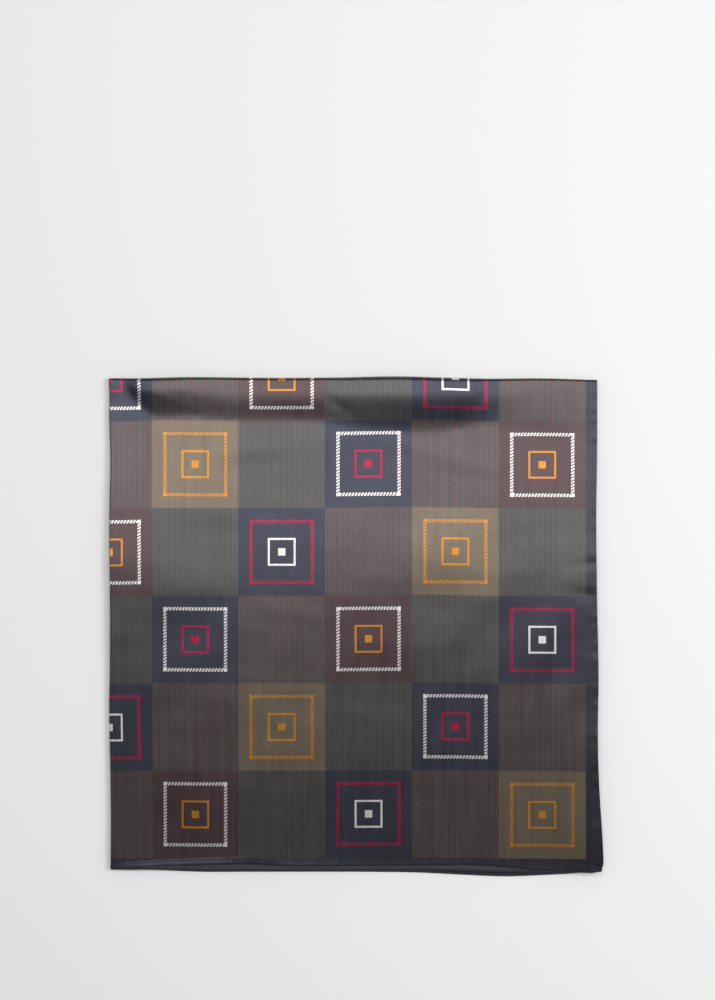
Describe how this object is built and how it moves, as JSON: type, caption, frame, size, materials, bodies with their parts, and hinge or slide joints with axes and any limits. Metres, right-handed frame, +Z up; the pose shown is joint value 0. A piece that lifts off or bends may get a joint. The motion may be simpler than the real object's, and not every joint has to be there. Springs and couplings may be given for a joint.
{
  "type": "folded headscarf",
  "caption": "Square satin headscarf with a print of framed square blocks and a dark border, folded in quarters and laid flat with a soft puffed fold along one side.",
  "frame": {"origin": "middle of the folded scarf's box, on the surface that it lies on", "axes": "+X from the first, flat fold to the open side hems, +Y from the open lower hems to the second, puffed fold, +Z up from the surface"},
  "size_m": [0.4556, 0.461, 0.0112],
  "materials": {
    "printed_satin": "soft satin, printed with square blocks in hatched grey, navy, olive brown and burgundy, with thin cream, crimson and gold frames"
  },
  "bodies": {
    "root": {"headscarf": "printed_satin"}
  },
  "joints": []
}
